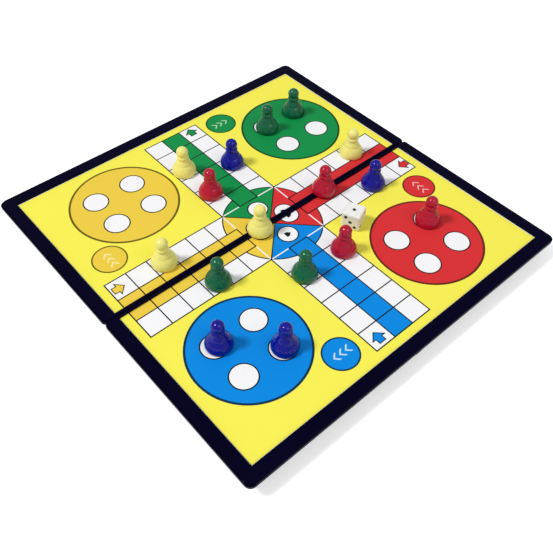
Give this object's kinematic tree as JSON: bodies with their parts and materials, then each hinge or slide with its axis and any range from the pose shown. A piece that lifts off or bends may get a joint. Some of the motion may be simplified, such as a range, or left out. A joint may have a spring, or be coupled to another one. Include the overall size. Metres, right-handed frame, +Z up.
{
  "type": "folding board game box",
  "caption": "Folding ludo board box: two hinged half shells with a printed magnetic play field, a sliding catch, turned playing pieces and a die.",
  "frame": {"origin": "middle of the opened board on the table, under the seam between the two halves", "axes": "+Z up out of the play field, +Y along the hinge, +X across the seam towards the half with the red and blue home circles"},
  "size_m": [0.25, 0.246, 0.0342],
  "materials": {
    "navy_plastic": "moulded polystyrene, satin top face with a fine grain",
    "sheet_steel": "zinc-plated thin sheet",
    "printed_film": "printed film with a clear gloss laminate",
    "pin_steel": "drawn wire",
    "magnet_ferrite": "dark grey sintered ferrite",
    "die_white": "polished opaque white",
    "pip_black": "paint in the pip hollows",
    "yellow_plastic": "glossy moulded polystyrene",
    "red_plastic": "glossy moulded polystyrene",
    "green_plastic": "glossy moulded polystyrene",
    "blue_plastic": "glossy moulded polystyrene"
  },
  "bodies": {
    "right_half": {"right_shell": "navy_plastic", "right_steel_sheet": "sheet_steel", "right_play_sheet": "printed_film", "front_hinge_pin": "pin_steel", "rear_hinge_pin": "pin_steel"},
    "left_half": {"left_shell": "navy_plastic", "left_steel_sheet": "sheet_steel", "left_play_sheet": "printed_film"},
    "latch": {"latch_slider": "navy_plastic"},
    "yellow_piece_1": {"yellow_pawn_1": "yellow_plastic", "yellow_magnet_1": "magnet_ferrite"},
    "yellow_piece_2": {"yellow_pawn_2": "yellow_plastic", "yellow_magnet_2": "magnet_ferrite"},
    "yellow_piece_3": {"yellow_pawn_3": "yellow_plastic", "yellow_magnet_3": "magnet_ferrite"},
    "yellow_piece_4": {"yellow_pawn_4": "yellow_plastic", "yellow_magnet_4": "magnet_ferrite"},
    "red_piece_1": {"red_pawn_1": "red_plastic", "red_magnet_1": "magnet_ferrite"},
    "red_piece_2": {"red_pawn_2": "red_plastic", "red_magnet_2": "magnet_ferrite"},
    "red_piece_3": {"red_pawn_3": "red_plastic", "red_magnet_3": "magnet_ferrite"},
    "red_piece_4": {"red_pawn_4": "red_plastic", "red_magnet_4": "magnet_ferrite"},
    "green_piece_1": {"green_pawn_1": "green_plastic", "green_magnet_1": "magnet_ferrite"},
    "green_piece_2": {"green_pawn_2": "green_plastic", "green_magnet_2": "magnet_ferrite"},
    "green_piece_3": {"green_pawn_3": "green_plastic", "green_magnet_3": "magnet_ferrite"},
    "green_piece_4": {"green_pawn_4": "green_plastic", "green_magnet_4": "magnet_ferrite"},
    "blue_piece_1": {"blue_pawn_1": "blue_plastic", "blue_magnet_1": "magnet_ferrite"},
    "blue_piece_2": {"blue_pawn_2": "blue_plastic", "blue_magnet_2": "magnet_ferrite"},
    "blue_piece_3": {"blue_pawn_3": "blue_plastic", "blue_magnet_3": "magnet_ferrite"},
    "blue_piece_4": {"blue_pawn_4": "blue_plastic", "blue_magnet_4": "magnet_ferrite"},
    "die": {"die": "die_white", "die_pips": "pip_black"}
  },
  "joints": [
    {"name": "board_fold", "type": "hinge", "parent": "right_half", "child": "left_half", "pos_m": [0, 0, 0.0022], "axis": [0, -1, 0], "range_deg": [0, 180]},
    {"name": "latch_slide", "type": "slide", "parent": "left_half", "child": "latch", "axis": [0, 1, 0], "range_m": [0, 0.005]},
    {"name": "yellow_lift_1", "type": "slide", "parent": "left_half", "child": "yellow_piece_1", "axis": [0, 0, 1], "range_m": [0, 0.03]},
    {"name": "yellow_lift_2", "type": "slide", "parent": "left_half", "child": "yellow_piece_2", "axis": [0, 0, 1], "range_m": [0, 0.03]},
    {"name": "yellow_lift_3", "type": "slide", "parent": "left_half", "child": "yellow_piece_3", "axis": [0, 0, 1], "range_m": [0, 0.03]},
    {"name": "yellow_lift_4", "type": "slide", "parent": "right_half", "child": "yellow_piece_4", "axis": [0, 0, 1], "range_m": [0, 0.03]},
    {"name": "red_lift_1", "type": "slide", "parent": "left_half", "child": "red_piece_1", "axis": [0, 0, 1], "range_m": [0, 0.03]},
    {"name": "red_lift_2", "type": "slide", "parent": "right_half", "child": "red_piece_2", "axis": [0, 0, 1], "range_m": [0, 0.03]},
    {"name": "red_lift_3", "type": "slide", "parent": "right_half", "child": "red_piece_3", "axis": [0, 0, 1], "range_m": [0, 0.03]},
    {"name": "red_lift_4", "type": "slide", "parent": "right_half", "child": "red_piece_4", "axis": [0, 0, 1], "range_m": [0, 0.03]},
    {"name": "green_lift_1", "type": "slide", "parent": "right_half", "child": "green_piece_1", "axis": [0, 0, 1], "range_m": [0, 0.03]},
    {"name": "green_lift_2", "type": "slide", "parent": "right_half", "child": "green_piece_2", "axis": [0, 0, 1], "range_m": [0, 0.03]},
    {"name": "green_lift_3", "type": "slide", "parent": "left_half", "child": "green_piece_3", "axis": [0, 0, 1], "range_m": [0, 0.03]},
    {"name": "green_lift_4", "type": "slide", "parent": "left_half", "child": "green_piece_4", "axis": [0, 0, 1], "range_m": [0, 0.03]},
    {"name": "blue_lift_1", "type": "slide", "parent": "right_half", "child": "blue_piece_1", "axis": [0, 0, 1], "range_m": [0, 0.03]},
    {"name": "blue_lift_2", "type": "slide", "parent": "right_half", "child": "blue_piece_2", "axis": [0, 0, 1], "range_m": [0, 0.03]},
    {"name": "blue_lift_3", "type": "slide", "parent": "right_half", "child": "blue_piece_3", "axis": [0, 0, 1], "range_m": [0, 0.03]},
    {"name": "blue_lift_4", "type": "slide", "parent": "left_half", "child": "blue_piece_4", "axis": [0, 0, 1], "range_m": [0, 0.03]},
    {"name": "die_lift", "type": "slide", "parent": "right_half", "child": "die", "axis": [0, 0, 1], "range_m": [0, 0.03]}
  ]
}
